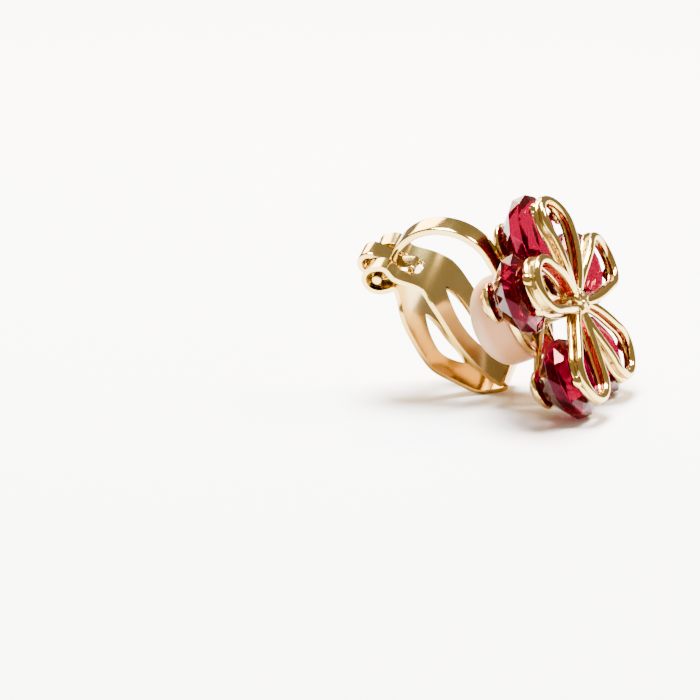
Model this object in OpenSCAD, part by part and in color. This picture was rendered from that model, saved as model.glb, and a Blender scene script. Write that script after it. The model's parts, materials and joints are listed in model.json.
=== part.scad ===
// Clip on earring: a five petal flower of wire loops over round cut stones,
// soldered to the disc of a hinged clip.
// The clip's own axes are used for drawing: X along the hinge pin, Y from the flower to the back, Z up.
// The whole is then tipped so that two stones and the paddle's end stand on the level ground at z = 0.

/* [Stones] */
// Diameter of each round stone across its corners
stone_d = 8; // [7.4:0.1:8.6]
// Diameter of the flat table at the front of a stone
table_d = 5.2; // [4.6:0.1:5.8]
// Height of the sloping crown between the table and the girdle
crown_h = 0.75; // [0.6:0.05:1]
// Height of the straight girdle
girdle_h = 1.05; // [0.8:0.05:1.4]
// Depth of the pointed back of a stone
pavilion_h = 2.95; // [2.6:0.05:3.2]
// Diameter of the blunt end of a stone
culet_d = 2; // [1.6:0.1:2.4]
// Space left between a stone and the metal round it
stone_gap = 0.04; // [0.02:0.01:0.08]
// Extra distance by which the upper left stone sits behind its loop
set_2 = 0.4; // [0.2:0.05:0.5]

/* [Petals] */
// Outer width of a petal's wire loop
loop_w = 6.2; // [5.6:0.1:6.8]
// Outward bow of a loop's two sides
loop_bow = 0.4; // [0.1:0.05:0.5]
// Width of the wires as seen from the front
wire_w = 0.85; // [0.7:0.05:1]
// Depth of a petal's front wire
wire_t = 0.62; // [0.5:0.02:0.7]
// Groove between a petal's front wire and its rear wire
groove = 0.18; // [0.14:0.02:0.26]
// Depth of a petal's rear wire
rear_wire_t = 0.65; // [0.55:0.05:0.75]
// Length of the loop's end over which the two wires are joined
tip_join = 1.3; // [1:0.1:1.6]
// Distance by which a stone's outer edge passes the end of its loop
stone_past = 0.65; // [0.3:0.05:1]
// Direction of the upper petal, seen along the hinge's frame
turn_1 = 68; // [65:0.5:71]
// Direction of the upper left petal
turn_2 = 137; // [134:0.5:140]
// Direction of the lower left petal
turn_3 = 219; // [216:0.5:222]
// Direction of the lower petal
turn_4 = 286; // [283:0.5:289]
// Direction of the right petal
turn_5 = 358; // [355:0.5:361]
// Forward lean of the upper petal
lean_1 = 3.5; // [2:0.5:5]
// Forward lean of the upper left petal
lean_2 = 7; // [5:0.5:8]
// Forward lean of the lower left petal
lean_3 = 3.5; // [2:0.5:5]
// Forward lean of the lower petal
lean_4 = 2; // [1:0.5:4]
// Forward lean of the right petal
lean_5 = 4; // [2:0.5:5]

/* [Mounting of the flower] */
// Distance from the front of the disc to the front of the flower's hub
hub_out = 5.1; // [5:0.05:5.4]
// Distance by which the hub sits below the middle of the disc
hub_drop = 0.8; // [0.5:0.1:1]
// Diameter of the boss where the ten wire ends meet
hub_d = 2.4; // [2:0.1:2.8]
// Diameter of the post between the hub and the disc
post_d = 2.2; // [1.8:0.1:2.6]
// Diameter of the arms that carry the cups
arm_d = 0.9; // [0.7:0.1:1.1]
// Depth of the cup behind each stone
cup_h = 1; // [0.8:0.1:1.3]
// Wall of the cups
cup_wall = 0.3; // [0.25:0.05:0.4]
// Diameter of the claw beads on the loops
bead_d = 0.9; // [0.7:0.05:1.1]

/* [Disc and pad] */
// Diameter of the clip's disc
disc_d = 9; // [8.6:0.1:9.2]
// Thickness of the disc
disc_t = 0.8; // [0.6:0.05:0.9]
// Diameter of the soft pad
pad_d = 9.1; // [8.8:0.1:9.3]
// Height of the pad's straight side
pad_side = 2.3; // [2:0.1:2.6]
// Height of the pad's dome over its side
pad_dome = 2.6; // [2.2:0.1:2.8]
// Diameter of the flat in the middle of the pad's dome, where the lobe rests
pad_flat = 2.4; // [1.6:0.1:3.2]
// Space left between the pad and the metal
pad_gap = 0.03; // [0.02:0.01:0.06]

/* [Arch] */
// Width of the arch's strip
strip_w = 2.5; // [2.2:0.1:2.8]
// Thickness of the arch's strip
strip_t = 0.75; // [0.65:0.05:0.85]
// Outer radius of the arch
arch_r = 5.5; // [5.3:0.05:5.7]
// Height of the arch's centre over the disc's upper edge
arch_rise = 2.4; // [2.2:0.05:2.6]
// Outer radius of the knuckle at the end of the arch
knuckle_r = 1.3; // [1.2:0.05:1.4]
// Distance from the hinge pin to the middle of the curl at the strip's end
curl_out = 1.3; // [1.1:0.05:1.5]
// Outer radius of the curl at the strip's end
curl_r = 1.3; // [1.1:0.05:1.4]
// Thickness of the curl's wall
curl_t = 0.7; // [0.6:0.05:0.8]
// Angle round the arch, from straight back, at which the knuckle sits
knuckle_at = 30; // [28:1:32]
// Side of the square stop tab under the knuckle
tab_s = 2; // [1.8:0.1:2.1]

/* [Hinge pin] */
// Diameter of the hinge pin
pin_d = 1; // [0.9:0.05:1.1]
// Running clearance of the pin in the knuckle, per side
pin_play = 0.05; // [0.03:0.01:0.08]
// Space between the pin and the paddle's ears, per side
pin_seat = 0.015; // [0.01:0.005:0.02]
// Space between the knuckle and each ear
side_play = 0.15; // [0.1:0.05:0.25]

/* [Paddle] */
// Width of the paddle at the hinge
neck_w = 6.7; // [6.4:0.1:7]
// Greatest width of the paddle
paddle_w = 8.8; // [8.2:0.1:9.2]
// Width of the paddle's folded end
tip_w = 4; // [3.4:0.1:4.6]
// Thickness of the paddle's sheet
sheet_t = 0.5; // [0.4:0.05:0.6]
// Outer radius of the ears round the pin
ear_r = 1.4; // [1.3:0.05:1.5]
// Distance from the disc's front to the middle of the front leaf
leaf_back = 6.8; // [6.65:0.05:7]
// Width of the slot where an ear's curl meets the space between the leaves
slot_w = 0.45; // [0.35:0.05:0.55]
// Distance from the disc's front to the rearmost bulge of the rear leaf
bulge_back = 10.45; // [10.2:0.05:10.7]
// Height of the folded end below the middle of the disc
tip_drop = 5.8; // [5.5:0.1:6.1]
// Diameter of the roll at the folded end
roll_d = 1.2; // [1.1:0.05:1.3]
// Width of the windows cut in the two leaves
window_w = 3.1; // [2.8:0.1:3.4]

/* [Hidden] */
$fn = 96;

GOLD = [0.93, 0.79, 0.52];
RED = [0.62, 0.02, 0.08, 0.8];
SILICONE = [0.95, 0.94, 0.92];
eps = 0.01;

// Petals
turns = [turn_1, turn_2, turn_3, turn_4, turn_5];
leans = [lean_1, lean_2, lean_3, lean_4, lean_5];
sets = [0, set_2, 0, 0, 0];
petals = [0:4];
steps = [for (i = petals) (turns[(i + 1) % 5] - turns[i] + 360) % 360];
corners = 12;
stone_r = stone_d / 2;
stone_reach = (stone_r + stone_gap) / sin(min(steps) / 2);
loop_reach = stone_reach + stone_r - stone_past;
hub = [0, -hub_out, -hub_drop];

// Depths behind the front of the wire
rear_wire_z = wire_t + groove;
loop_back_z = rear_wire_z + rear_wire_t;
table_z = loop_back_z + stone_gap;
girdle_z = table_z + crown_h;
back_z = girdle_z + girdle_h;
culet_z = back_z + pavilion_h;
cup_back_z = culet_z + stone_gap + cup_wall;
cup_rim_z = cup_back_z - cup_h;
arm_z = back_z + 1.4 * pavilion_h / 2.95;
arm_len = stone_reach - culet_d / 2;
arm_slope = -atan((cup_rim_z + cup_h * 0.6 - arm_z) / arm_len);

// Radius of a stone's back at a depth
function back_r(z) = stone_r + (culet_d / 2 - stone_r) * (z - back_z) / pavilion_h;

// Clip
disc_r = disc_d / 2;
pad_r = pad_d / 2;
pad_z = disc_t + pad_gap;
pad_flat_at = acos(pad_flat / pad_d);
leg_y = disc_t - strip_t / 2;
leg_foot = pad_r + pad_gap + 0.05;
leg_room = 0.12;
arch_c = [leg_y + arch_r, disc_r + arch_rise];
curl_at = knuckle_at + 16;
touch = acos((knuckle_r - curl_r) / curl_out);
strip_mid_r = arch_r - strip_t / 2;
knuckle_c = arch_c + (strip_mid_r + knuckle_r * 0.75) * [cos(knuckle_at), sin(knuckle_at)];
curl_c = curl_out * [cos(curl_at), sin(curl_at)];
tab_at = knuckle_at - 5;
tab_c = arch_c + (arch_r - strip_t - tab_s / 2 + 0.1) * [cos(tab_at), sin(tab_at)];
tab_w = strip_w - 0.4;
tab_wall = 0.32;

// Paddle
pin_r = pin_d / 2;
neck = neck_w / 2;
ear_mid_r = ear_r - sheet_t / 2;
ear_in = strip_w / 2 + side_play;
ear_w = neck - ear_in;
roll_r = roll_d / 2;
notch_r = curl_out + curl_r + side_play;
slot_at = 225;

// Places in the paddle's side view: shares of the leaves' distance,
// and of the height to the pin or down to the end
leaf_deep = bulge_back - leaf_back;
pin_h = knuckle_c[1];
function leaf_at(y, z) = [leaf_back + y * leaf_deep, z * (z > 0 ? pin_h : tip_drop)];
function ear_at(r, a) = knuckle_c + r * [cos(a), sin(a)];
tip_c = leaf_at(-0.21, -1);
front_leaf = [ear_at(ear_mid_r, 100), ear_at(ear_r * 1.33, 204), leaf_at(0.227, 0.743), leaf_at(0.053, 0.535),
    leaf_at(0, 0.206), leaf_at(-0.067, -0.2), leaf_at(-0.13, -0.62),
    tip_c + (roll_r - sheet_t / 2) * [-1, 0.2]];
rear_leaf = [ear_at(ear_mid_r, -60), leaf_at(0.907, 0.73), leaf_at(0.973, 0.514),
    leaf_at(1, 0.31), leaf_at(1, 0.113),
    leaf_at(0.955, -0.11), leaf_at(0.725, -0.443), leaf_at(0.45, -0.84), leaf_at(0.16, -1.01),
    tip_c + (roll_r - sheet_t / 2) * [1, -0.2]];
// Half outline of the paddle from behind, as places of height and half width
function wide_at(z, w) = [z * (z > 0 ? pin_h : tip_drop), (tip_w + w * (paddle_w - tip_w)) / 2];
half_outline = [[pin_h * 1.35, neck], [pin_h * 0.8, neck], [pin_h * 0.576, neck * 0.4 + paddle_w * 0.32],
    wide_at(0.31, 1), wide_at(0.06, 0.98), wide_at(-0.27, 0.8), wide_at(-0.62, 0.5), wide_at(-0.9, 0.28),
    wide_at(-1, 0.12), wide_at(-1.08, 0), wide_at(-1.4, 0)];
front_window = [0.545 * pin_h, -0.43 * tip_drop];
rear_window = [0.34 * pin_h, -0.55 * tip_drop];

// A smooth run of points through the given ones, n per stretch
function knot(a, b, c, d, t) = 0.5 * (2 * b + (c - a) * t + (2 * a - 5 * b + 4 * c - d) * t * t
    + (3 * b - a - 3 * c + d) * t * t * t);
function at(p, i) = p[max(0, min(len(p) - 1, i))];
function smooth(p, n) = concat(
    [for (i = [0:len(p) - 2], k = [0:n - 1]) knot(at(p, i - 1), p[i], p[i + 1], at(p, i + 2), k / n)],
    [p[len(p) - 1]]);
function unit(v) = v / norm(v);
function side(p, i) = let (d = unit(at(p, i + 1) - at(p, i - 1))) [-d[1], d[0]];
// The outline of a strip of thickness t along a line
function strip(p, t) = concat(
    [for (i = [0:len(p) - 1]) p[i] + side(p, i) * t / 2],
    [for (i = [len(p) - 1:-1:0]) p[i] - side(p, i) * t / 2]);

// A place in petal i's own axes (outward, across, back), given in the clip's axes
function lean_point(p, l) = [p[0] * cos(l) + p[2] * sin(l), p[1], p[2] * cos(l) - p[0] * sin(l)];
function turn_point(p, a) = [p[0] * cos(a) + p[1] * sin(a), p[1] * cos(a) - p[0] * sin(a), p[2]];
function from_petal(i, p) = let (q = turn_point(lean_point(p, leans[i]), turns[i])) hub + [q[0], q[2], -q[1]];

// Corners of a stone, ring by ring from the table to the culet
function ring(r, z, shift) = [for (k = [0:corners - 1]) let (a = (k + shift) * 360 / corners)
    [stone_reach + r * cos(a), r * sin(a), z]];
rings = [ring(table_d / 2, table_z, 0.5), ring(stone_r, girdle_z, 0), ring(stone_r, back_z, 0.5),
    ring(back_r(back_z + pavilion_h * 0.55), back_z + pavilion_h * 0.5, 0), ring(culet_d / 2, culet_z, 0)];
girdle_points = concat(rings[1], rings[2]);

outline = smooth(half_outline, 5);
rear_side = smooth(rear_leaf, 5);
// Places on the edges of the rear leaf's back, and at the ends of the roll
rear_back = [for (i = [5:len(rear_side) - 2]) rear_side[i] + side(rear_side, i) * sheet_t / 2];
back_of_z = [for (i = [0:35]) [rear_back[i][1], rear_back[i][0]]];
belly = concat(
    [for (p = rear_back, s = [-1, 1]) [s * lookup(p[1], outline), p[0], p[1]]],
    [for (p = outline, s = [-1, 1]) if (p[0] < 0 && p[0] > -tip_drop * 1.03)
        [s * p[1], lookup(p[0], back_of_z), p[0]]]);

// The resting place: two stones and the paddle's rounded end touch the ground
function lowest(pts, up) =
    let (h = [for (p = pts) p * up])
    [for (k = [0:len(pts) - 1]) if (h[k] == min(h)) pts[k]][0];
function stone_foot(i, up) = lowest([for (p = girdle_points) from_petal(i, p + [0, 0, sets[i]])], up);
function roll_ends(up) = let (d = unit([0, up[1], up[2]]))
    [for (s = [-1, 1]) [s * tip_w / 2, tip_c[0], tip_c[1]] - roll_r * d];
function paddle_foot(up) = lowest(concat(belly, roll_ends(up)), up);
function ground(up) = let (a = stone_foot(2, up), b = stone_foot(3, up), c = paddle_foot(up),
    n = unit(cross(b - a, c - a))) n[2] > 0 ? n : -n;
function settle(up, n) = n == 0 ? up : settle(ground(up), n - 1);
up = settle(unit([0.3, -0.4, 0.85]), 8);
back_dir = unit([0, 1, 0] - up[1] * up);
right_dir = cross(back_dir, up);
ground_h = paddle_foot(up) * up;

// Reach of the whole along a direction, for centring it over the origin
loop_tips = [for (i = petals, a = [-80:8:80], z = [0, loop_back_z + sets[i]])
    from_petal(i, [loop_reach - loop_w / 2 + loop_w / 2 * cos(a), loop_w / 2 * sin(a), z])];
stone_tips = [for (i = petals, p = girdle_points) from_petal(i, p + [0, 0, sets[i]])];
tips = concat(loop_tips, stone_tips);
function pin_reach(d, r, w) = [0, knuckle_c[0], knuckle_c[1]] * d + r * norm([d[1], d[2]]) + w * abs(d[0]);
function curl_reach(d) = pin_reach(d, curl_r, strip_w / 2) + [d[1], d[2]] * curl_c;
function reach(d) = max(concat([for (p = tips) p * d],
    [pin_reach(d, knuckle_r, strip_w / 2), pin_reach(d, ear_r, neck), curl_reach(d)]));
mid_x = (reach(right_dir) - reach(-right_dir)) / 2;
mid_y = (reach(back_dir) - reach(-back_dir)) / 2;

module stand() {
    multmatrix([
        [right_dir[0], right_dir[1], right_dir[2], -mid_x],
        [back_dir[0], back_dir[1], back_dir[2], -mid_y],
        [up[0], up[1], up[2], -ground_h],
        [0, 0, 0, 1]
    ]) children();
}

module in_petal(i) {
    translate(hub) rotate([-90, 0, 0]) rotate([0, 0, -turns[i]]) rotate([0, leans[i], 0]) children();
}

// Turns a side view, drawn with Y to the right and Z up, into a slab of width w about the middle
module side_view(w) {
    rotate([90, 0, 90]) linear_extrude(w, center = true) children();
}

// A drop shape from the hub at the origin to a round end of radius r at the given reach, with bowed sides
module drop(r, end) {
    c = end - r;
    a = acos(r / c);
    touch = [c - r * cos(a), r * sin(a)];
    sides = [for (k = [0:6]) let (t = k / 6)
        t * touch + 5.4 * loop_bow * t * pow(1 - t, 1.5) * [-cos(a), sin(a)]];
    translate([c, 0]) circle(r, $fn = 56);
    polygon(concat(sides, [[c, 0]], [for (k = [6:-1:1]) [sides[k][0], -sides[k][1]]]));
}

// A wire loop from the front; inset narrows the wire on both sides
module loop_shape(inset) {
    difference() {
        drop(loop_w / 2 - inset, loop_reach - inset);
        translate([wire_w * 1.6, 0]) drop(loop_w / 2 - wire_w + inset, loop_reach - wire_w * 2.6 + inset);
    }
}

// Front and rear wire of a petal, joined at the loop's end, with two claw beads on the rear wire
module petal_loop(i) {
    linear_extrude(wire_t) loop_shape(0);
    translate([0, 0, rear_wire_z + sets[i]]) linear_extrude(rear_wire_t) loop_shape(0);
    translate([0, 0, wire_t / 2]) linear_extrude(groove + sets[i] + (wire_t + rear_wire_t) / 2) intersection() {
        loop_shape(wire_w * 0.08);
        translate([loop_reach - tip_join, -loop_w]) square([tip_join, 2 * loop_w]);
    }
    for (s = [-1, 1]) {
        translate([loop_reach - loop_w / 2, 0, rear_wire_z + sets[i] - groove / 2])
            translate(loop_w / 2 * [cos(50), s * sin(50), 0])
            cylinder(h = rear_wire_t + groove / 2, d = bead_d);
    }
}

// Cup behind a stone, with the arm that joins it to the post
module cup() {
    difference() {
        union() {
            translate([stone_reach, 0, 0]) rotate_extrude() polygon([
                [0, cup_back_z],
                [culet_d / 2 + stone_gap + cup_wall * 0.8, cup_back_z],
                [back_r(cup_rim_z) + stone_gap + cup_wall, cup_rim_z + cup_h * 0.45],
                [back_r(cup_rim_z) + stone_gap + cup_wall, cup_rim_z],
                [0, cup_rim_z]
            ]);
            translate([0, 0, arm_z]) rotate([0, 90 + arm_slope, 0])
                cylinder(h = arm_len / cos(arm_slope), d = arm_d);
        }
        translate([stone_reach, 0, 0]) rotate_extrude() polygon([
            [0, culet_z + stone_gap],
            [culet_d / 2 + stone_gap, culet_z + stone_gap],
            [stone_r + stone_gap, back_z - stone_gap],
            [0, back_z - stone_gap]
        ]);
    }
}

module arch() {
    side_view(strip_w) difference() {
        intersection() {
            translate(arch_c) circle(arch_r);
            translate(arch_c) polygon([[0, 0], 2 * arch_r * [cos(knuckle_at - 4), sin(knuckle_at - 4)],
                [2 * arch_r, 2 * arch_r], [-2 * arch_r, 2 * arch_r], [-2 * arch_r, 0]]);
        }
        translate(arch_c) circle(arch_r - strip_t);
    }
    translate([-strip_w / 2, leg_y, leg_foot]) cube([strip_w, strip_t, arch_c[1] - leg_foot + eps]);
    translate([-strip_w / 2, leg_y, disc_r - 1]) cube([strip_w, disc_t - leg_y, leg_foot - disc_r + 1 + eps]);
}

module stop_tab() {
    translate([0, tab_c[0], tab_c[1]]) rotate([tab_at, 0, 0]) difference() {
        cube([tab_w, tab_s, tab_s], center = true);
        cube([tab_w + 1, tab_s - 2 * tab_wall, tab_s - 2 * tab_wall], center = true);
    }
}

module across_pin(r, w) {
    translate([0, knuckle_c[0], knuckle_c[1]]) rotate([0, 90, 0]) cylinder(h = w, r = r, center = true);
}

// The arch's knuckle, bent on round the pin into an open curl
module knuckle() {
    translate([0, knuckle_c[0], knuckle_c[1]]) side_view(strip_w) difference() {
        union() {
            circle(knuckle_r);
            translate(curl_c) circle(curl_r);
            // The two lines that touch both circles
            rotate(curl_at) polygon([
                knuckle_r * [cos(touch), sin(touch)],
                knuckle_r * [cos(touch), -sin(touch)],
                [curl_out, 0] + curl_r * [cos(touch), -sin(touch)],
                [curl_out, 0] + curl_r * [cos(touch), sin(touch)]
            ]);
        }
        translate(curl_c) circle(curl_r - curl_t);
    }
}

module frame() {
    color(GOLD) stand() difference() {
        union() {
            difference() {
                for (i = petals) {
                    in_petal(i) {
                        petal_loop(i);
                        translate([0, 0, sets[i]]) cup();
                    }
                }
                // Room for the arch's leg beside the upper cup
                translate([-strip_w / 2 - leg_room, leg_y - leg_room, disc_r + leg_room])
                    cube([strip_w + 2 * leg_room, 3, 2 * stone_d]);
            }
            translate(hub + [0, wire_t / 2, 0]) rotate([-90, 0, 0]) cylinder(h = loop_back_z, d = hub_d);
            translate(hub + [0, wire_t, 0]) rotate([-90, 0, 0])
                cylinder(h = hub_out - wire_t + disc_t / 2, d = post_d);
            rotate([-90, 0, 0]) cylinder(h = disc_t, r = disc_r);
            arch();
            knuckle();
            stop_tab();
        }
        across_pin(pin_r + pin_play, strip_w + 1);
        // Room for the pad behind the disc
        translate([0, disc_t, 0]) rotate([-90, 0, 0]) cylinder(h = pad_side + pad_dome, r = pad_r + pad_gap);
    }
}

module stone(i) {
    pts = [for (r = rings, p = r) p];
    n = corners;
    sides = [for (k = [0:3], j = [0:n - 1]) let (a = k * n + j, b = k * n + (j + 1) % n)
        k == 1 ? [[a, b, a + n], [b, b + n, a + n]] : [[a, b, b + n], [a, b + n, a + n]]];
    faces = concat([[for (j = [n - 1:-1:0]) j]], [for (s = sides, f = s) f], [[for (j = [0:n - 1]) 4 * n + j]]);
    color(RED) stand() in_petal(i) translate([0, 0, sets[i]]) polyhedron(pts, faces);
}

module stone_1() stone(0);
module stone_2() stone(1);
module stone_3() stone(2);
module stone_4() stone(3);
module stone_5() stone(4);

module pad() {
    rise = pad_dome / sin(pad_flat_at);
    dome = [for (k = [0:12]) let (a = k * pad_flat_at / 12) [pad_r * cos(a), pad_z + pad_side + rise * sin(a)]];
    color(SILICONE) stand() rotate([-90, 0, 0]) rotate_extrude()
        polygon(concat([[0, pad_z], [pad_r - 0.25, pad_z], [pad_r, pad_z + 0.4]], dome,
            [[0, pad_z + pad_side + pad_dome]]));
}

module hinge_pin() {
    color(GOLD) stand() across_pin(pin_r, neck_w);
}

// A pointed oval, high along Y, for the windows
module lens(w, top, bottom) {
    h = (top - bottom) / 2;
    r = (h * h + w * w / 4) / w;
    translate([0, (top + bottom) / 2]) intersection() {
        translate([r - w / 2, 0]) circle(r);
        translate([w / 2 - r, 0]) circle(r);
    }
}

module window(top, bottom, y0, y1) {
    translate([0, y1, 0]) rotate([90, 0, 0]) linear_extrude(y1 - y0) lens(window_w, top, bottom);
}

module paddle() {
    leaf_gap = (leaf_back + bulge_back) / 2;
    color(GOLD) stand() difference() {
        union() {
            intersection() {
                union() {
                    side_view(paddle_w + 2) polygon(strip(smooth(front_leaf, 5), sheet_t));
                    side_view(paddle_w + 2) polygon(strip(rear_side, sheet_t));
                }
                translate([0, 20, 0]) rotate([90, 0, 0]) linear_extrude(20) polygon(concat(
                    [for (p = outline) [p[1], p[0]]],
                    [for (k = [len(outline) - 1:-1:0]) [-outline[k][1], outline[k][0]]]));
            }
            for (s = [-1, 1]) {
                translate([s * (ear_in + ear_w / 2), 0, 0]) across_pin(ear_r, ear_w);
            }
            translate([0, tip_c[0], tip_c[1]]) rotate([0, 90, 0])
                cylinder(h = tip_w, r = roll_r, center = true);
        }
        window(front_window[0], front_window[1], leaf_back - 2, leaf_gap);
        window(rear_window[0], rear_window[1], leaf_gap, bulge_back + 2);
        across_pin(pin_r + pin_seat, neck_w + 2);
        across_pin(notch_r, 2 * ear_in);
        translate([0, knuckle_c[0], knuckle_c[1]]) side_view(neck_w + 2) rotate(slot_at)
            translate([0, -slot_w / 2]) square([ear_r + 0.3, slot_w]);
        translate([-ear_in, tab_c[0] - tab_s, tab_c[1] - tab_s / 2 - 0.6])
            cube([2 * ear_in, knuckle_c[0] - tab_c[0] + tab_s, 2 * tab_s]);
    }
}

frame();
stone_1();
stone_2();
stone_3();
stone_4();
stone_5();
pad();
hinge_pin();
paddle();
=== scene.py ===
"""Looks of a clip on earring: polished wire petals over red stones, on a hinged clip with a soft pad.

The pieces are worked out in the clip's own axes in millimetres: x along the hinge pin, y from the flower to
the back, z up, with the origin in the middle of the disc's front. A petal has its own axes: outward, across
and back.
"""
import json
import math
from collections import namedtuple

import bmesh
import bpy
import numpy as np
from bpy.props import FloatProperty, FloatVectorProperty, PointerProperty
from bpy.types import Operator, Panel, PropertyGroup
from mathutils import Matrix, Vector


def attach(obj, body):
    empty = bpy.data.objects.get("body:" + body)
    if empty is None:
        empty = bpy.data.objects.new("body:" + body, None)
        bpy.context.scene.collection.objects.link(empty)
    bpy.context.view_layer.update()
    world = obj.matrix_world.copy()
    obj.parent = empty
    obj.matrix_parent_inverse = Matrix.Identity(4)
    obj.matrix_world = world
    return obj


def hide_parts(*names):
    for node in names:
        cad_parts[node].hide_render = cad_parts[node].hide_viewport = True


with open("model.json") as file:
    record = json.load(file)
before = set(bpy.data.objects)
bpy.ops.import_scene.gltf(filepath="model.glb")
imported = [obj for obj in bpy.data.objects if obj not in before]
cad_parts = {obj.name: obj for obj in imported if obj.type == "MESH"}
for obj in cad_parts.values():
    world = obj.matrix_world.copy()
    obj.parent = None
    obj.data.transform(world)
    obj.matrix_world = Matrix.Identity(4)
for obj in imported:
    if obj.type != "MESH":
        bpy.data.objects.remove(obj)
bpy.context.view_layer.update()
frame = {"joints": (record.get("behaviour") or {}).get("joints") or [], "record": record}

bl_info = {
    "name": "Clip on earring with a flower of stones",
    "version": (1, 0, 0),
    "blender": (4, 5, 0),
    "location": "3D View > Sidebar > Earring",
    "description": "Builds the visible pieces of the earring round its packed model",
    "category": "Object",
}


def unit(v):
    """A vector divided by its own length."""
    v = np.asarray(v, float)
    return v / np.linalg.norm(v)


# The clip's axes in the model's frame: along the pin, out of the pad's flat, and square to both
HINGE = frame["joints"][0]
FACE = frame["record"]["mounts"][0]
ACROSS, BACK = unit(HINGE["axis"]), unit(FACE["axis"])
AXES = np.array([ACROSS, BACK, np.cross(ACROSS, BACK)])

# The pad's flat lies this far behind the disc's front, which gives the origin and the pin's place
FACE_OUT = 5.73
START = np.array(FACE["pos_m"]) - BACK * FACE_OUT / 1000
PIN = (AXES @ (np.array(HINGE["pos_m"]) - START)) * 1000

# The flower's middle, and how far out from it the stones' axes and the loops' ends lie
HUB = np.array([0, -5.1, -0.8])
STONE_OUT = 7.3197
LOOP_END = 10.67

# Each petal's turn and lean in degrees, how much deeper its stone sits, how far its sides bow and its wires
# dome forward in millimetres, and where its claws stand round the loop in degrees
Petal = namedtuple("Petal", "turn lean deeper bow dome claws")
PETALS = (
    Petal(turn=68, lean=3.5, deeper=0, bow=0.35, dome=0.8, claws=(-38, 72)),
    Petal(turn=137, lean=7, deeper=0.4, bow=0.5, dome=0.5, claws=(4, -70)),
    Petal(turn=219, lean=3.5, deeper=0, bow=0.25, dome=0.1, claws=(58, -58)),
    Petal(turn=286, lean=2, deeper=0, bow=0.5, dome=0.35, claws=(56, -56)),
    Petal(turn=358, lean=4, deeper=0, bow=0.45, dome=0.6, claws=(54, -54)),
)


# Sizes and colours


class PetalSizes(PropertyGroup):
    loop_width: FloatProperty(name="Loop width", description="Width of a petal's loop", default=6.2)
    wire: FloatProperty(name="Wire", description="Width of the loops' wire", default=0.92)
    claw: FloatProperty(name="Claw", description="Width of the claws on the loops", default=1.1)


class StoneSizes(PropertyGroup):
    table: FloatProperty(name="Table", description="Width of a stone's flat table", default=5.2)
    across: FloatProperty(name="Across", description="Width of a stone", default=8.0)
    girdle: FloatProperty(name="Girdle", description="Height of a stone's side", default=1.05)


class ClipSizes(PropertyGroup):
    sheet: FloatProperty(name="Sheet", description="Thickness of the paddle's sheet", default=0.46)
    strip: FloatProperty(name="Strip", description="Thickness of the arch's strip", default=0.75)
    cupping: FloatProperty(name="Cupping", description="How far the leaves' edges curl", default=0.12)


class Colours(PropertyGroup):
    gold: FloatVectorProperty(
        name="Gold", description="Colour of the metal", subtype="COLOR", default=(0.63, 0.475, 0.155))
    red: FloatVectorProperty(
        name="Red", description="Colour of the stones", subtype="COLOR", default=(0.1, 0.0, 0.0085))
    pad: FloatVectorProperty(
        name="Pad", description="Colour of the soft pad", subtype="COLOR", default=(0.81, 0.7, 0.54))
    floor: FloatVectorProperty(
        name="Floor", description="Colour of the floor", subtype="COLOR", default=(0.96, 0.955, 0.95))


# Places and meshes


def place(p):
    """Model place of a point in the clip's axes: the start plus each coordinate times its axis, in metres."""
    return START + (np.asarray(p, float) @ AXES) / 1000


def from_petal(petal, p):
    """Clip place of a petal's point: tipped by the lean about the across axis, turned in the flower's plane,
    and moved to the hub."""
    p = np.asarray(p, float)
    lean, turn = math.radians(petal.lean), math.radians(petal.turn)
    out = p[..., 0] * math.cos(lean) + p[..., 2] * math.sin(lean)
    deep = p[..., 2] * math.cos(lean) - p[..., 0] * math.sin(lean)
    x = out * math.cos(turn) + p[..., 1] * math.sin(turn)
    z = out * math.sin(turn) - p[..., 1] * math.cos(turn)
    return HUB + np.stack([x, deep, z], -1)


def facing_back(turned):
    """A spun form whose height axis is turned to run from the front to the back."""
    return np.stack([turned[..., 0], turned[..., 2], -turned[..., 1]], -1)


def along_pin(turned):
    """A spun form whose height axis is turned to run along the hinge pin, with its middle in the pin."""
    return np.stack([turned[..., 2], turned[..., 0] + PIN[1], turned[..., 1] + PIN[2]], -1)


def in_side_view(side):
    """Points with a place back and up, in the middle of the clip."""
    return np.column_stack([np.zeros(len(side)), side])


def direction(degrees):
    """A step of length one at an angle."""
    return np.array([math.cos(math.radians(degrees)), math.sin(math.radians(degrees))])


def superellipse(a, square):
    """Cosine and sine of the angle, each raised to 2/square with its sign kept."""
    c, s = np.cos(a), np.sin(a)
    return np.sign(c) * abs(c) ** (2 / square), np.sign(s) * abs(s) ** (2 / square)


def section(width, height, n, square):
    """A rounded rectangle: a superellipse times half the width and height."""
    across, up = superellipse(np.linspace(0, 2 * np.pi, n, endpoint=False), square)
    return np.stack([across * width / 2, up * height / 2], -1)


def carry(path, flat, cut, wide=1.0, deep=1.0):
    """A section carried along a path: path + first coordinate times the side times wide + second times the
    flat direction times deep, where the side is the path's direction crossed with the flat direction."""
    path = np.asarray(path, float)
    ahead = np.gradient(path, axis=0)
    ahead /= np.linalg.norm(ahead, axis=1, keepdims=True)
    flat = np.broadcast_to(np.asarray(flat, float), path.shape)
    side = np.cross(ahead, flat)
    side /= np.linalg.norm(side, axis=1, keepdims=True)
    side = side * np.broadcast_to(wide, len(path))[:, None]
    flat = flat * np.broadcast_to(deep, len(path))[:, None]
    return path[:, None] + cut[None, :, :1] * side[:, None] + cut[None, :, 1:] * flat[:, None]


def carry_round(path, flat, cut):
    """As carry, on a closed path whose last point joins the first."""
    over = 3
    longer = np.concatenate([path[-over:], path, path[:over]])
    return carry(longer, flat, cut)[over:len(path) + over]


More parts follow.
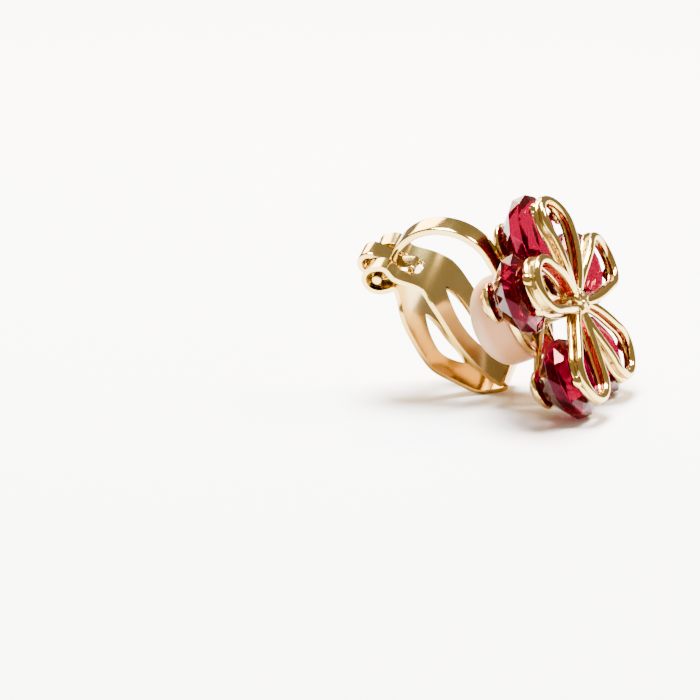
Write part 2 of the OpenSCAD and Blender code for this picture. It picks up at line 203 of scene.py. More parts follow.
def spin(profile, n):
    """A profile of (radius, height) turned about the height axis: radius times cosine and sine of the turn,
    and height."""
    a = np.linspace(0, 2 * np.pi, n, endpoint=False)
    r, h = np.asarray(profile, float).T
    heights = np.broadcast_to(h[:, None], (len(h), n))
    return np.stack([r[:, None] * np.cos(a), r[:, None] * np.sin(a), heights], -1)


def smooth(points, n):
    """A run through the points, n steps per stretch, each stretch a cubic whose slopes are half the step
    between neighbours."""
    p = np.asarray(points, float)
    q = np.concatenate([p[:1], p, p[-1:]])
    t = np.linspace(0, 1, n, endpoint=False)[:, None]
    runs = [0.5 * (2 * b + (c - a) * t + (2 * a - 5 * b + 4 * c - d) * t ** 2
                   + (3 * b - a - 3 * c + d) * t ** 3)
            for a, b, c, d in zip(q[:-3], q[1:-2], q[2:-1], q[3:])]
    return np.concatenate(runs + [p[-1:]])


def rounded(points, radius, n):
    """A profile with its inner corners cut to arcs: a quadratic curve between the places one radius before
    and after each."""
    most = 0.45
    p = np.asarray(points, float)
    t = np.linspace(0, 1, n)[:, None]
    out = [p[:1]]
    for a, b, c in zip(p[:-2], p[1:-1], p[2:]):
        r = min(radius, np.linalg.norm(b - a) * most, np.linalg.norm(c - b) * most)
        before, after = b + unit(a - b) * r, b + unit(c - b) * r
        out.append((1 - t) ** 2 * before + 2 * t * (1 - t) * b + t ** 2 * after)
    return np.concatenate(out + [p[-1:]])


def faces_of(rows, cols, round_rows, round_cols, start):
    """Four-sided faces of a grid, joined end to end where it goes round."""
    i = np.arange(rows if round_rows else rows - 1)
    j = np.arange(cols if round_cols else cols - 1)
    a, b = np.meshgrid(i, j, indexing="ij")
    c, d = (a + 1) % rows, (b + 1) % cols
    return (np.stack([a * cols + b, c * cols + b, c * cols + d, a * cols + d], -1) + start).reshape(-1, 4)


def build(name, grids, material, body, nodes, sharp=38, facets=None, inward=None):
    """Makes one piece of grids and rides it on a body. A grid is its points in model metres and whether its
    rows go round, its columns go round and its ends are closed. Facets, where given, are the faces instead.
    Inward, where given, is stored for each point, for the finish."""
    verts, faces, start = [], [], 0
    for points, round_rows, round_cols, ends in grids:
        rows, cols = points.shape[:2]
        verts.append(points.reshape(-1, 3))
        faces += faces_of(rows, cols, round_rows, round_cols, start).tolist()
        if ends:
            last = start + (rows - 1) * cols
            faces += [list(range(start, start + cols)), list(range(last, last + cols))]
        start += rows * cols
    mesh = bpy.data.meshes.new(name)
    mesh.from_pydata(np.concatenate(verts).tolist(), [], faces if facets is None else facets)
    if inward is not None:
        stored = mesh.attributes.new("inward", "FLOAT", "POINT")
        stored.data.foreach_set("value", inward.ravel().astype(np.float32))
    bm = bmesh.new()
    bm.from_mesh(mesh)
    bmesh.ops.remove_doubles(bm, verts=bm.verts, dist=2e-6)
    bmesh.ops.dissolve_degenerate(bm, edges=bm.edges, dist=1e-7)
    bmesh.ops.recalc_face_normals(bm, faces=bm.faces)
    bm.to_mesh(mesh)
    bm.free()
    if sharp:
        mesh.shade_smooth()
        mesh.set_sharp_from_angle(angle=math.radians(sharp))
    mesh.materials.append(material)
    piece = bpy.data.objects.new(name, mesh)
    bpy.context.scene.collection.objects.link(piece)
    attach(piece, body)
    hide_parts(*nodes)
    return piece


def bevel(piece, width, segments, angle):
    """Rounds the edges of a piece that are sharper than the angle, in millimetres."""
    edge = piece.modifiers.new("edge", "BEVEL")
    edge.width, edge.segments = width / 1000, segments
    edge.limit_method, edge.angle_limit = "ANGLE", math.radians(angle)
    edge.harden_normals = False


# Materials


class Socket:
    """A number from a node's output, on which Python's operators add Math nodes."""

    def __init__(self, tree, socket):
        self.tree, self.socket = tree, socket

    def math(self, operation, *values):
        return self.tree.add("ShaderNodeMath", {"operation": operation}, dict(enumerate(values)))[0]

    def __add__(self, v):
        return self.math("ADD", self, v)

    def __sub__(self, v):
        return self.math("SUBTRACT", self, v)

    def __rsub__(self, v):
        return self.math("SUBTRACT", v, self)

    def __mul__(self, v):
        return self.math("MULTIPLY", self, v)

    __radd__ = __add__

    def clamp(self):
        return self.math("MAXIMUM", self.math("MINIMUM", self, 1.0), 0.0)


class Outputs:
    """The outputs of a node, by name or number."""

    def __init__(self, tree, node):
        self.tree, self.node = tree, node

    def __getitem__(self, key):
        return Socket(self.tree, self.node.outputs[key])


class Finish:
    """One material and its node tree."""

    def __init__(self, name, **constants):
        self.material = bpy.data.materials.new(name)
        self.material.use_nodes = True
        self.nodes, self.links = self.material.node_tree.nodes, self.material.node_tree.links
        self.shader = self.nodes["Principled BSDF"]
        for key, value in constants.items():
            self.shader.inputs[key.replace("_", " ")].default_value = value
        self.place = self.add("ShaderNodeTexCoord", {}, {})["Object"]

    def add(self, kind, settings, values):
        """Adds any node: its settings are set first, then its sockets get values or links. Gives its
        outputs."""
        node = self.nodes.new(kind)
        for key, value in settings.items():
            setattr(node, key, value)
        for key, value in values.items():
            if isinstance(value, Socket):
                self.links.new(value.socket, node.inputs[key])
            else:
                node.inputs[key].default_value = value
        return Outputs(self, node)

    def noise(self, scale, detail, rough=0.5):
        values = {"Vector": self.place, "Scale": scale, "Detail": detail, "Roughness": rough}
        return self.add("ShaderNodeTexNoise", {}, values)["Fac"]

    def mix(self, share, first, second):
        """The first colour where share is 0, and the second where it is 1."""
        return self.add("ShaderNodeMix", {"data_type": "RGBA"}, {0: share, 6: first, 7: second})[2]

    def bump(self, height, strength, distance):
        values = {"Height": height, "Strength": strength, "Distance": distance}
        self.feed(Normal=self.add("ShaderNodeBump", {}, values)["Normal"])

    def feed(self, **values):
        for key, value in values.items():
            self.links.new(value.socket, self.shader.inputs[key.replace("_", " ")])


def rgba(colour, *times):
    """A colour with its red, green and blue each multiplied, by one number or by one for each."""
    times = times * 3 if len(times) == 1 else times or (1, 1, 1)
    return (*(min(c * t, 1.0) for c, t in zip(colour, times)), 1.0)


def gold_finish(name, bumps=0.0, rough=0.07, tone=1.0, fold=0.0):
    """Polished plated metal: slow changes of tone and gloss, and a faint unevenness of the casting. Fold is
    how far the colour is darkened towards the ground as painted shade and painted reflection of the shaded
    floor, as low in the fold of the paddle."""
    painted_shade_top, painted_shade_fade = 0.003, 125.0
    colour = bpy.context.scene.earring_colours.gold
    f = Finish(name, Metallic=1.0, IOR=1.45)
    slow = f.noise(260.0, 2.0)
    fine = f.noise(2600.0, 4.0, 0.6)
    tone_and_painted_shade = (slow * 1.6 - 0.35).clamp()
    # Painted shade: low on the piece the colour goes to the darker tone, standing in for the shaded floor
    # that it reflects
    if fold:
        height = f.add("ShaderNodeSeparateXYZ", {}, {0: f.place})["Z"]
        low = (1.0 - (height - painted_shade_top) * painted_shade_fade).clamp()
        tone_and_painted_shade = (tone_and_painted_shade * (1.0 - fold) + low * fold * 2.2).clamp()
    darker = (tone * (0.93 - 0.3 * fold), tone * (0.84 - 0.36 * fold), tone * (0.74 - 0.5 * fold))
    f.feed(Base_Color=f.mix(tone_and_painted_shade, rgba(colour, tone), rgba(colour, *darker)))
    f.feed(Roughness=rough + fine * 0.07)
    f.bump(fine * 0.35 + slow, 0.12 + bumps, 0.00006)
    return f.material


def pitted_finish(name, inside=None):
    """Cast metal with small pits, as where the wires are soldered. Inside is its colour on the points that
    are
    marked as inward: a painted reflection of the red stones."""
    colour = bpy.context.scene.earring_colours.gold
    f = Finish(name, Metallic=1.0)
    pits = {"Vector": f.place, "Scale": 1700.0, "Smoothness": 0.6}
    lumps = f.add("ShaderNodeTexVoronoi", {"feature": "SMOOTH_F1"}, pits)["Distance"]
    fine = f.noise(2400.0, 3.0)
    tone = f.mix((lumps * 1.2 - 0.2).clamp(), rgba(colour, 1.08), rgba(colour, 0.8, 0.62, 0.45))
    # Painted reflection: the inward faces take the red of the stones they face
    if inside:
        inward = f.add("ShaderNodeAttribute", {"attribute_name": "inward"}, {})["Fac"]
        tone = f.mix(inward, tone, f.mix(fine, rgba(inside), rgba(inside, 0.7)))
    f.feed(Base_Color=tone)
    f.feed(Roughness=0.14 + fine * 0.16)
    f.bump(lumps + fine * 0.3, 0.55, 0.00016)
    return f.material


def stone_finish(name):
    """Deep red glass, a little cloudy and scratched, that light passes through."""
    colour = bpy.context.scene.earring_colours.red
    glint = (1.0, 0.12, 0.25, 1.0)
    f = Finish(name, IOR=1.34, Transmission_Weight=0.92, Specular_IOR_Level=0.22, Specular_Tint=glint)
    cloud = f.noise(420.0, 3.0)
    f.feed(Base_Color=f.mix((cloud * 1.8 - 0.4).clamp(), rgba(colour), rgba(colour, 0.7, 1.0, 0.8)))
    f.feed(Roughness=0.015 + cloud * 0.03)
    f.bump(f.noise(900.0, 2.0), 0.03, 0.00005)
    return f.material


def pad_finish(name):
    """Milky soft rubber: light goes a little way in, the colour goes tan towards the disc as painted shade
    and painted reflection of the gold disc, broken by random blotches, and the surface has a faint grain."""
    colour = bpy.context.scene.earring_colours.pad
    f = Finish(name, Subsurface_Weight=0.4, Subsurface_Scale=0.001, Subsurface_Radius=(1.0, 0.78, 0.55),
               IOR=1.41, Specular_IOR_Level=0.45)
    grain = f.noise(1800.0, 4.0, 0.6)
    blotch = f.noise(300.0, 2.0)
    out = f.add("ShaderNodeVectorMath", {"operation": "DOT_PRODUCT"}, {0: f.place, 1: tuple(BACK)})["Value"]
    depth = (out - float(START @ BACK)) * (1000 / FACE_OUT)
    # Painted shade and painted reflection of the gold disc: tan towards the disc, broken by random blotches
    deep = (1.45 - depth * 1.2 + blotch * 0.3).clamp()
    f.feed(Base_Color=f.mix(deep, rgba(colour), rgba(colour, 0.52, 0.27, 0.13)))
    f.feed(Roughness=0.34 + grain * 0.14)
    f.bump(grain, 0.08, 0.00004)
    return f.material


def floor_finish(name):
    """Plain pale floor, with no shine."""
    f = Finish(name, Roughness=0.6, Specular_IOR_Level=0.2)
    f.shader.inputs["Base Color"].default_value = rgba(bpy.context.scene.earring_colours.floor)
    return f.material


# Each finish's function and what it is given
FINISHES = {
    "polished gold": (gold_finish, {}),
    "wire gold": (gold_finish, {"bumps": 0.28, "rough": 0.06, "tone": 1.04}),
    # The paddle's fold share paints shade and the shaded floor's reflection towards the ground
    "paddle gold": (gold_finish, {"rough": 0.12, "tone": 1.02, "fold": 0.72}),
    "cast gold": (pitted_finish, {}),
    # The inside red of the petals' walls is a painted reflection of the stones
    "inner gold": (pitted_finish, {"inside": (0.75, 0.05, 0.045)}),
    "red glass": (stone_finish, {}),
    "milky rubber": (pad_finish, {}),
    "pale floor": (floor_finish, {}),
}


def finish(name):
    """A finish by its name, made when it is first asked for."""
    if name not in bpy.data.materials:
        make, values = FINISHES[name]
        make(name, **values)
    return bpy.data.materials[name]


# Pieces


def drop_path(radius, end, bow):
    """A line from the hub to where it touches a circle, round the circle, and back to the hub. Each side is
    bowed outward by 5.4 bow t (1 - t) to the power 1.5, where t runs from the hub to the circle."""
    straight, arc, gap, bulge = 30, 72, 0.7, 5.4
    c = end - radius
    a = math.acos(radius / c)
    t = np.linspace(-(np.pi - a), np.pi - a, arc)
    turn = np.stack([c + radius * np.cos(t), radius * np.sin(t)], -1)
    k = np.linspace(gap / np.linalg.norm(turn[0]), 1, straight, endpoint=False)[:, None]
    out = np.array([-math.cos(a), -math.sin(a)])
    low = turn[0] * k + out * (bulge * bow * k * (1 - k) ** 1.5)
    return np.concatenate([low, turn, low[::-1] * [1, -1]])


def dome_of(petal, path):
    """How far forward a path's points are bent: the petal's dome times the sine of half a turn, which runs
    from the hub to just before the loop's end."""
    return petal.dome * np.sin(np.pi * np.clip(path[:, 0] / (LOOP_END - 0.5), 0, 1))


class EARRING_OT_petals(Operator):
    """Each petal's two wire loops, which meet at the tip, the wall between, and the claws over the stone"""
    bl_idname = "earring.petals"
    bl_label = "Petals"

    def execute(self, context):
        sizes = context.scene.earring_petals
        wire = sizes.wire
        reach = sizes.loop_width / 2 - wire / 2
        end = LOOP_END - wire / 2
        narrower, thinner = 0.12, 0.96
        back_at_hub, back_at_tip = 1.12, 0.72
        front_at_hub, front_at_tip, front_at_deep_tip = 0.32, 0.56, 0.4
        claw_rows = ((0, 1.0), (0.62, 0.55))
        for i, petal in enumerate(PETALS, 1):
            back = drop_path(reach, end, petal.bow)
            front = drop_path(reach - narrower, end, petal.bow)
            tip = front_at_deep_tip if petal.deeper else front_at_tip
            grids = [self.loop(petal, back, wire, back_at_hub + petal.deeper, back_at_tip + petal.deeper * 2),
                     self.loop(petal, front, wire * thinner, front_at_hub, tip)]
            wall, inward = self.wall(petal, reach, end)
            build(f"petal_wall_{i}", [wall], finish("inner gold"), "clip", ["frame"], inward=inward)
            for angle in petal.claws:
                for along, size in claw_rows:
                    claw = self.claw(angle, along, reach, sizes.claw * size) + [0, 0, petal.deeper]
                    grids.append((place(from_petal(petal, claw)), False, True, False))
            build(f"petal_loop_{i}", grids, finish("wire gold"), "clip", ["frame"])
        return {"FINISHED"}

    @staticmethod
    def loop(petal, path, width, at_hub, at_tip):
        """One wire. Its depth goes from that at the hub to that at the tip with the share
        exp(-(x/2)^2 - (y/2.6)^2), where x and y are measured from the loop's end, and it swells with the same
        share."""
        height, wider = 0.62, 0.12
        swell = 0.1 if petal.deeper else 0.5
        near = np.exp(-(((path[:, 0] - LOOP_END) / 2.0) ** 2 + (path[:, 1] / 2.6) ** 2))
        line = np.column_stack([path, at_hub + (at_tip - at_hub) * near - dome_of(petal, path)])
        tube = carry(line, (0, 0, 1), section(width, height, 22, 2.15), 1 + wider * near, 1 + swell * near)
        return place(from_petal(petal, tube)), False, True, True

    @staticmethod
    def wall(petal, reach, end):
        """The wall between a petal's wires, and how far each of its points faces inward: 1 inside the loop
        and 0 outside. Inside is nearer than the wall's middle to the line from the hub to the loop's
        middle."""
        thick, blend = 0.5, 0.1
        height, middle = 1.15 + petal.deeper, 0.7 + petal.deeper * 0.6
        path = drop_path(reach - 0.1, end - 0.08, petal.bow)
        line = np.column_stack([path, middle - dome_of(petal, path)])
        web = carry(line, (0, 0, 1), section(thick, height, 14, 5.0))
        own, all_points = (np.hypot(at[..., 1], np.maximum(at[..., 0] - LOOP_END + reach, 0))
                           for at in (path, web))
        # The inward share marks where the wall is painted with the stones' red reflection
        inward = np.clip(0.5 + (own[:, None] - all_points) / blend, 0, 1)
        return (place(from_petal(petal, web)), False, True, True), inward

    @staticmethod
    def claw(angle, ahead, radius, width):
        """An egg on the back loop's wire, so far along the wire: a sphere's sine and cosine, longer along the
        wire than across it."""
        long, broad, high = 0.62, 0.5, 0.52
        inset, depth, outward = 0.37, 1.06, 0.02
        whole_turn = np.linspace(0, 2 * np.pi, 22, endpoint=False)
        u, v = np.meshgrid(np.linspace(0, np.pi, 15), whole_turn, indexing="ij")
        a = math.radians(angle)
        side = 1 if angle > 0 else -1
        along = np.array([-math.sin(a), math.cos(a), 0]) * side
        out = np.array([math.cos(a), math.sin(a), 0])
        centre = np.array([LOOP_END - radius - inset, 0, depth]) + out * (radius + outward) + along * ahead
        ball = (np.cos(u)[..., None] * along * width * long
                + (np.sin(u) * np.cos(v))[..., None] * out * width * broad
                + (np.sin(u) * np.sin(v))[..., None] * np.array([0, 0, 1]) * width * high)
        return centre + ball


class EARRING_OT_stones(Operator):
    """The five round stones of twelve sides: table, crown, girdle and a back that ends in a small flat"""
    bl_idname = "earring.stones"
    bl_label = "Stones"

    def execute(self, context):
        sizes = context.scene.earring_stones
        n = 12
        k = np.arange(n)
        front, girdle = 1.49, 2.24
        rear = girdle + sizes.girdle
        pavilion, culet = 1.475, 2.95
        pavilion_r, culet_r = 2.38, 1.0
        girdle_r = sizes.across / 2

        def ring(radius, z, shift):
            """Twelve corners on a circle, turned by a share of one side."""
            a = (k + shift) * 2 * np.pi / n
            return np.stack([STONE_OUT + radius * np.cos(a), radius * np.sin(a), np.full(n, z)], -1)

        rings = [ring(sizes.table / 2, front, 0.5), ring(girdle_r, girdle, 0), ring(girdle_r, rear, 0.5),
                 ring(pavilion_r, rear + pavilion, 0), ring(culet_r, rear + culet, 0)]
        here = [k + level * n for level in range(5)]
        following = [(k + 1) % n + level * n for level in range(5)]
        table, crown, lower, waist, point = here
        next_table, next_crown, next_lower, next_waist, next_point = following
        faces = [table[::-1].tolist(), point.tolist()]
        for corners in ((table, next_crown, crown), (table, next_table, next_crown),
                        (crown, next_crown, lower), (next_crown, next_lower, lower),
                        (lower, next_lower, next_waist), (lower, next_waist, waist),
                        (waist, next_waist, next_point, point)):
            faces += np.stack(corners, -1).tolist()
        for i, petal in enumerate(PETALS, 1):
            points = place(from_petal(petal, np.concatenate(rings) + [0, 0, petal.deeper]))
            grid = (points.reshape(5, n, 3), False, True, False)
            gem = build(f"gem_{i}", [grid], finish("red glass"), "clip", [f"stone_{i}"], sharp=0,
                        facets=faces)
            bevel(gem, 0.04, 1, 5)
        return {"FINISHED"}


class EARRING_OT_seats(Operator):
    """The cups behind the stones with their arms, and the hub and post that carry the flower"""
    bl_idname = "earring.seats"
    bl_label = "Seats"

    def execute(self, context):
        cup = rounded([(0, 6.28), (1.04, 6.28), (1.62, 5.72), (1.66, 5.58), (2.0, 5.56), (2.02, 5.75),
                       (1.98, 5.98), (1.3, 6.58), (0, 6.58)], 0.1, 4)
        cup = spin(cup, 48) + [STONE_OUT, 0, 0]
        start, end = np.array([0.4, 0, 4.62]), np.array([STONE_OUT - 1.05, 0, 6.2])
        bend, arm_wire = np.array([0, 0, 0.12]), 0.8
        t = np.linspace(0, 1, 24)[:, None]
        path = start + (end - start) * t + bend * np.sin(np.pi * t)
        arm = carry(path, (0, 1, 0), section(arm_wire, arm_wire, 16, 2.3))
        for i, petal in enumerate(PETALS, 1):
            deeper = [0, 0, petal.deeper]
            grids = [(place(from_petal(petal, cup + deeper)), False, True, False),
                     (place(from_petal(petal, arm + deeper)), False, True, True)]
            build(f"stone_seat_{i}", grids, finish("cast gold"), "clip", ["frame"])
        hub = rounded([(0, -0.52), (0.8, -0.47), (1.3, -0.2), (1.5, 0.3), (1.3, 1.2), (1.08, 1.75),
                       (1.1, 4.9), (1.45, 5.12), (0, 5.12)], 0.16, 6)
        points = HUB + facing_back(self.lumpy(spin(hub, 64)))
        build("hub_and_post", [(place(points), False, True, False)], finish("cast gold"), "clip", ["frame"])
        return {"FINISHED"}

    @staticmethod
    def lumpy(hub):
        """The front of the solder is uneven: its depth is moved by products of sines of its place, less and
        less towards the post."""
        x, y, z = np.moveaxis(hub, -1, 0)
        front = np.clip(1 - z / 0.9, 0, 1)
        coarse = 0.07 * np.sin(5.2 * x + 1) * np.cos(4.4 * y - 0.6)
        fine = 0.045 * np.sin(9 * x - 2) * np.sin(8 * y + 1.3)
        spread = 1 + 0.09 * front * np.sin(5 * np.arctan2(y, x) + 0.8)
        return np.stack([x * spread, y * spread, z + (coarse + fine) * front], -1)


class EARRING_OT_clip(Operator):
    """The disc, the arch with its knuckle and curl, and the stop tab"""
    bl_idname = "earring.clip"
    bl_label = "Disc and arch"

    def execute(self, context):
        strip = context.scene.earring_clip.strip
        disc = rounded([(0, 0), (4.2, 0), (4.5, 0.1), (4.5, 0.7), (4.2, 0.8), (0, 0.8)], 0.16, 5)
        disc = facing_back(spin(disc, 96))
        build("disc", [(place(disc), False, True, False)], finish("polished gold"), "clip", ["frame"])
        centre, outer, arch_wide, tab_overlap = np.array([5.925, 6.9]), 5.5, 2.5, 0.1
        self.arch(centre, outer - strip / 2, strip, arch_wide)
        self.stop_tab(centre, outer + tab_overlap - strip)
        return {"FINISHED"}

    def arch(self, centre, middle, strip, wide):
        """A straight leg up from the disc, a bow round the centre to 30 degrees, the curl round the pin, and
        the bush in the knuckle."""
        leg_from, bow_to = 4.35, 30
        curl_away, curl_angle, curl_r, curl_strip = 1.3, 46, 0.98, 0.62
        bore, bush_r, bush_half = 0.56, 0.95, 1.25
        a = np.radians(np.linspace(180, bow_to, 80))
        up = np.linspace(leg_from, centre[1], 14, endpoint=False)
        leg = np.stack([np.full(len(up), centre[0] - middle), up], -1)
        bow = centre + middle * np.stack([np.cos(a), np.sin(a)], -1)
        path = in_side_view(np.concatenate([leg, bow]))
        band = carry(path, (1, 0, 0), section(strip, wide, 28, 7.0))
        pin = PIN[1:]
        curl = self.loop_round(pin, pin + curl_away * direction(curl_angle), curl_r,
                               section(curl_strip, wide, 28, 7.0))
        bush = spin([(bore, -bush_half), (bush_r, -bush_half), (bush_r, bush_half), (bore, bush_half)], 48)
        grids = [(place(band), False, True, True), (place(curl), True, True, False),
                 (place(along_pin(bush)), True, True, False)]
        build("arch", grids, finish("polished gold"), "clip", ["frame"], sharp=50)

    @staticmethod
    def stop_tab(centre, inside):
        """A square ring of thin sheet under the arch's end: a superellipse with a high power."""
        tab_angle, half, thick, wide, inset = 25, 0.88, 0.22, 2.1, 1.0
        ahead = direction(tab_angle)
        middle = centre + (inside - inset) * ahead
        u, v = (half * share for share in superellipse(np.linspace(0, 2 * np.pi, 64, endpoint=False), 10))
        box = middle + np.stack([u * ahead[0] - v * ahead[1], u * ahead[1] + v * ahead[0]], -1)
        ring = carry_round(in_side_view(box), (1, 0, 0), section(thick, wide, 20, 5.0))
        build("stop_tab", [(place(ring), True, True, False)], finish("polished gold"), "clip", ["frame"],
              sharp=45)

    @staticmethod
    def loop_round(first, second, radius, cut):
        """A strip bent round two pins: half a circle about each, joined by straight runs."""
        along = unit(second - first)
        square = np.array([-along[1], along[0]])
        a = np.linspace(-np.pi / 2, np.pi / 2, 30)[:, None]
        far = second + radius * (np.cos(a) * along + np.sin(a) * square)
        near = first + radius * (-np.cos(a) * along - np.sin(a) * square)
        k = np.linspace(0, 1, 8)[1:-1, None]
        there, back = far[-1] + (near[0] - far[-1]) * k, near[-1] + (far[0] - near[-1]) * k
        return carry_round(in_side_view(np.concatenate([far, there, near, back])), (1, 0, 0), cut)


class EARRING_OT_pad(Operator):
    """The soft pad behind the disc"""
    bl_idname = "earring.pad"
    bl_label = "Pad"

    def execute(self, context):
        radius, rim, dome_end, flat_r = 4.55, 3.13, 74.7, 0.6
        a = np.radians(np.linspace(0, dome_end, 22))
        rise = (FACE_OUT - rim) / math.sin(a[-1])
        dome = np.stack([radius * np.cos(a), rim + rise * np.sin(a)], -1)
        side = rounded([(0, 0.83), (4.38, 0.83), (4.52, 1.15), (4.56, 2.2), (radius, 3.1)], 0.25, 5)
        profile = np.concatenate([side[:-1], dome, [(flat_r, FACE_OUT), (0, FACE_OUT)]])
        points = facing_back(spin(profile, 96))
        build("soft_pad", [(place(points), False, True, False)], finish("milky rubber"), "clip", ["pad"],
              sharp=60)
        return {"FINISHED"}


class EARRING_OT_paddle(Operator):
    """The folded sheet of the paddle with its two leaves, windows and ears, and the pin through the ears"""
    bl_idname = "earring.paddle"
    bl_label = "Paddle and pin"

    def execute(self, context):
        self.sheet(context.scene.earring_clip)
        pin_r, pin_half, edge, edge_long = 0.5, 3.3, 0.08, 0.1
        profile = rounded([(0, -pin_half), (pin_r - edge, -pin_half), (pin_r, edge_long - pin_half),
                           (pin_r, pin_half - edge_long), (pin_r - edge, pin_half), (0, pin_half)], edge, 4)
        build("pin", [(place(along_pin(spin(profile, 40))), False, True, False)], finish("polished gold"),
              "paddle_body", ["hinge_pin"])
        return {"FINISHED"}

    def sheet(self, sizes):
        """Both sides of the sheet, each from its opening to its edge. The edges curl by the cupping times the
        square of the share of the half width, less and less towards the fold."""
        flat_below, fade = -6.2, 3
        side, half, hole = self.side_view()
        ahead = np.gradient(side, axis=0)
        ahead /= np.linalg.norm(ahead, axis=1, keepdims=True)
        out = np.stack([-ahead[:, 1], ahead[:, 0]], -1)
        grids = []
        u = 0.5 - 0.5 * np.cos(np.pi * np.linspace(0, 1, 15))
        for hand in (-1, 1):
            x = hole[:, None] + (half - hole)[:, None] * u
            faded = np.clip((side[:, 1:] - flat_below) / fade, 0, 1)
            curl = sizes.cupping * (x / half[:, None]) ** 2 * faded
            yz = side[:, None] + out[:, None] * curl[..., None]
            points = np.concatenate([(hand * x)[..., None], yz], -1)
            grids.append((place(points), False, False, False))
        sheet = build("folded_paddle", grids, finish("paddle gold"), "paddle_body", ["paddle"],
                      sharp=60)
        solid = sheet.modifiers.new("thickness", "SOLIDIFY")
        solid.thickness, solid.offset = sizes.sheet / 1000, 0
        solid.use_even_offset, solid.use_quality_normals = True, True
        bevel(sheet, 0.09, 2, 50)

    @staticmethod
    def side_view():
        """The sheet's line in side view, from the front leaf's end up, round the pin and down the rear leaf
        to the fold, with the half width and the half width of the opening at each place."""
        pin = PIN[1:]
        front, deep, drop = 6.8, 3.65, 5.8
        narrow, wide, neck, window = 4.0, 8.8, 3.35, 3.1
        ear_r, behind_pin = 1.15, [9.93, 8.55]

        def leaf(y, z):
            """Shares of the leaves' distance, and of the height to the pin or down to the fold."""
            return [front + y * deep, z * (pin[1] if z > 0 else drop)]

        def ear(r, degrees):
            """A distance from the pin at an angle."""
            return pin + r * direction(degrees)

        tip = np.array(leaf(-0.21, -1))
        points = [tip + [-0.3, 0.15], leaf(-0.13, -0.62), leaf(-0.067, -0.2), leaf(0, 0.206),
                  leaf(0.053, 0.535), leaf(0.227, 0.743), ear(1.86, 204), ear(1.42, 150),
                  *(ear(ear_r, degrees) for degrees in (100, 60, 20, -25)),
                  ear(1.18, -70), ear(1.42, -112), behind_pin, leaf(0.86, 0.77), leaf(0.973, 0.514),
                  leaf(1, 0.31), leaf(1, 0.113), leaf(0.955, -0.11), leaf(0.725, -0.443), leaf(0.45, -0.84),
                  leaf(0.16, -0.998), tip + [0.1, -0.3], tip + [-0.36, -0.16], tip + [-0.56, 0.25],
                  tip + [-0.62, 0.7]]
        steps = 24
        side = smooth(points, steps)
        at = np.arange(len(side)) / steps
        ears_from, front_to, ears_to, end_from = 6, 8, 14.6, 23

        # Height as a share of that to the pin or the fold, and width as a share from narrow to wide
        table = ((-1.4, 0), (-1.08, 0), (-1, 0.04), (-0.9, 0.25), (-0.62, 0.5), (-0.27, 0.8), (0.06, 0.98),
                 (0.31, 1))
        lines = [(z * (pin[1] if z > 0 else drop), (narrow + w * (wide - narrow)) / 2) for z, w in table]
        lines += [(pin[1] * 0.576, neck * 0.4 + wide * 0.32), (pin[1] * 0.8, neck), (pin[1] * 1.35, neck)]
        outline = smooth(lines, 12)
        half = np.interp(side[:, 1], outline[:, 0], outline[:, 1])
        half = np.where((at > ears_from) & (at < ears_to), neck, half)

        def lens(top, bottom):
            """Half width of a pointed oval at each height: a circle's arc less the part outside the oval."""
            h = (top - bottom) / 2
            r = (h * h + window * window / 4) / window
            z = side[:, 1] - (top + bottom) / 2
            return np.where(abs(z) < h, np.sqrt(np.maximum(r * r - z * z, 0)) - (r - window / 2), 0)

        hole = np.where(at < ears_from, lens(0.545 * pin[1], -0.43 * drop), 0)
        hole = np.where((at > ears_to) & (at < end_from), lens(0.34 * pin[1], -0.55 * drop), hole)

        # The notch between the ears, from above the front window round the pin
        notch_from, notch_reach, notch_half, notch_edge = 7.8, 2.75, 1.42, 0.6
        narrower, narrow_below, narrow_over, smallest_rim = 0.22, 8.9, 0.5, 0.3
        length = np.concatenate([[0], np.cumsum(np.linalg.norm(np.diff(side, axis=0), axis=1))])
        reach = np.linalg.norm(side - pin, axis=1)
        low = length[np.argmax(side[:, 1] > notch_from)]
        high = length[len(side) - 1 - np.argmax((reach < notch_reach)[::-1])]
        inside = np.minimum(length - low, high - length)
        lower = np.clip((narrow_below - side[:, 1]) / narrow_over, 0, 1)
        broad = notch_half - narrower * lower * (at < front_to)
        notch = broad * np.sqrt(np.clip(1 - (1 - np.clip(inside / notch_edge, 0, 1)) ** 3, 0, 1))
        hole = np.maximum(hole, np.where(inside > 0, notch, 0))
        return side, half, np.minimum(hole, half - smallest_rim)


# The light of the room and of each lamp: its place, size and power, in metres and watts
WARM, WHITE, ROOM = (1.0, 0.78, 0.56), (0.975, 0.985, 1.0), (0.84, 0.69, 0.50, 1)
ROOM_STRENGTH = 0.52
Lamp = namedtuple("Lamp", "name at size power colour")
LAMPS = (
    Lamp("top", (0.094, 0.078, 0.5), 0.24, 25.0, WHITE),
    Lamp("key", (0.16, -0.16, 0.26), 0.06, 2.4, WARM),
    Lamp("back", (0.32, 0.28, 0.27), 0.22, 3.2, WARM),
)
LAMPS_AIM = np.array([0, 0, 0.008])

# The photograph's width in pixels, where the object's middle is in it, and its pixels to a millimetre there
PICTURE = 700
MIDDLE_X, MIDDLE_Y = 497.7, 304.6
PIXELS_PER_MM = 10.25


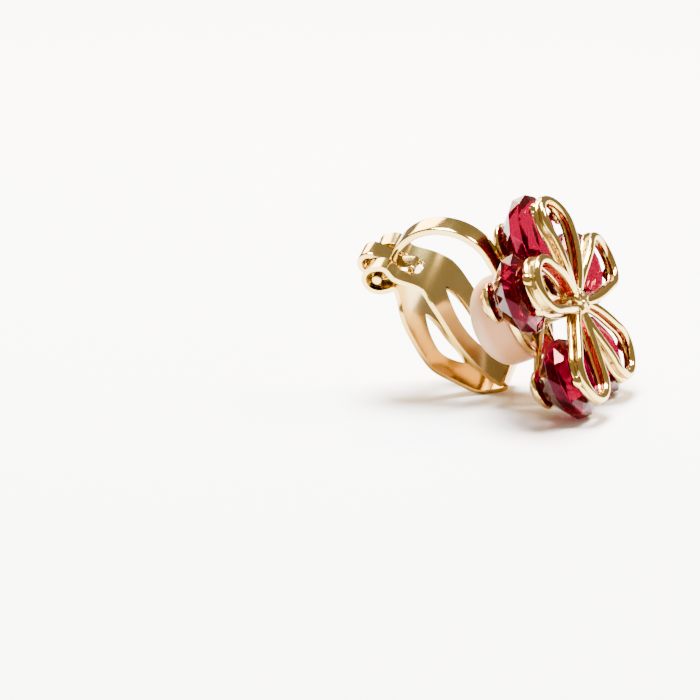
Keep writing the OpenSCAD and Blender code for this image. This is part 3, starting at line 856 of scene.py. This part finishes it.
class EARRING_OT_stage(Operator):
    """The pale floor, the soft lights and the camera"""
    bl_idname = "earring.stage"
    bl_label = "Stage"

    def execute(self, context):
        scene = context.scene
        self.floor(scene)
        world = bpy.data.worlds.new("studio")
        world.use_nodes = True
        room = world.node_tree.nodes["Background"].inputs
        room["Color"].default_value = ROOM
        room["Strength"].default_value = ROOM_STRENGTH
        scene.world = world
        for row in LAMPS:
            light = bpy.data.lights.new(row.name, "AREA")
            light.size, light.energy, light.color = row.size, row.power, row.colour
            lamp = bpy.data.objects.new(row.name, light)
            scene.collection.objects.link(lamp)
            lamp.location = row.at
            lamp.rotation_mode = "QUATERNION"
            lamp.rotation_quaternion = Vector(unit(LAMPS_AIM - np.array(row.at))).to_track_quat("-Z", "Y")
        self.camera(scene)
        return {"FINISHED"}

    @staticmethod
    def floor(scene):
        """A square of the floor at the ground's height."""
        r = 1.2
        mesh = bpy.data.meshes.new("floor")
        mesh.from_pydata([(-r, -r, 0), (r, -r, 0), (r, r, 0), (-r, r, 0)], [], [(0, 1, 2, 3)])
        mesh.materials.append(finish("pale floor"))
        floor = bpy.data.objects.new("floor", mesh)
        scene.collection.objects.link(floor)

    @staticmethod
    def camera(scene):
        """The photograph's direction to the object, turned a little aside so that the object stands right of
        the middle."""
        azimuth, elevation, roll = math.radians(-69.19), math.radians(15.36), math.radians(0.65)
        away, aim_height, film = 0.3433, 0.009, 36
        focal = PIXELS_PER_MM * away * 1000
        aside, above = (MIDDLE_X - PICTURE / 2) / focal, (PICTURE / 2 - MIDDLE_Y) / focal
        flat = math.cos(elevation)
        back = np.array([math.sin(azimuth) * flat, -math.cos(azimuth) * flat, math.sin(elevation)])
        level = np.array([math.cos(azimuth), math.sin(azimuth), 0])
        right = math.cos(roll) * level + math.sin(roll) * np.cross(back, level)
        up = np.cross(back, right)
        aim = unit(back + right * aside + up * above)
        right = unit(np.cross(up, aim))
        turn = np.eye(4)
        turn[:3, :3] = np.column_stack([right, np.cross(aim, right), aim])
        turn[:3, 3] = np.array([0, 0, aim_height]) + back * away
        lens = bpy.data.cameras.new("camera")
        lens.sensor_width, lens.lens = film, focal / PICTURE * film
        lens.clip_start, lens.clip_end = 0.01, 10
        camera = bpy.data.objects.new("camera", lens)
        scene.collection.objects.link(camera)
        camera.matrix_world = Matrix(turn.tolist())
        scene.camera = camera


STEPS = ("petals", "stones", "seats", "clip", "pad", "paddle", "stage")
GROUPS = {
    "earring_petals": PetalSizes,
    "earring_stones": StoneSizes,
    "earring_clip": ClipSizes,
    "earring_colours": Colours,
}


class EARRING_PT_panel(Panel):
    """Lists the earring's sizes, colours and pieces"""
    bl_idname = "EARRING_PT_panel"
    bl_label = "Earring"
    bl_space_type = "VIEW_3D"
    bl_region_type = "UI"
    bl_category = "Earring"

    def draw(self, context):
        for group, kind in GROUPS.items():
            for key in kind.__annotations__:
                self.layout.prop(getattr(context.scene, group), key)
        for step in STEPS:
            self.layout.operator("earring." + step)


CLASSES = (PetalSizes, StoneSizes, ClipSizes, Colours, EARRING_OT_petals, EARRING_OT_stones, EARRING_OT_seats,
           EARRING_OT_clip, EARRING_OT_pad, EARRING_OT_paddle, EARRING_OT_stage, EARRING_PT_panel)


def register():
    for c in CLASSES:
        bpy.utils.register_class(c)
    for group, kind in GROUPS.items():
        setattr(bpy.types.Scene, group, PointerProperty(type=kind))


def unregister():
    for group in GROUPS:
        delattr(bpy.types.Scene, group)
    for c in reversed(CLASSES):
        bpy.utils.unregister_class(c)


def main():
    register()
    for step in STEPS:
        getattr(bpy.ops.earring, step)()


if __name__ == "__main__":
    main()
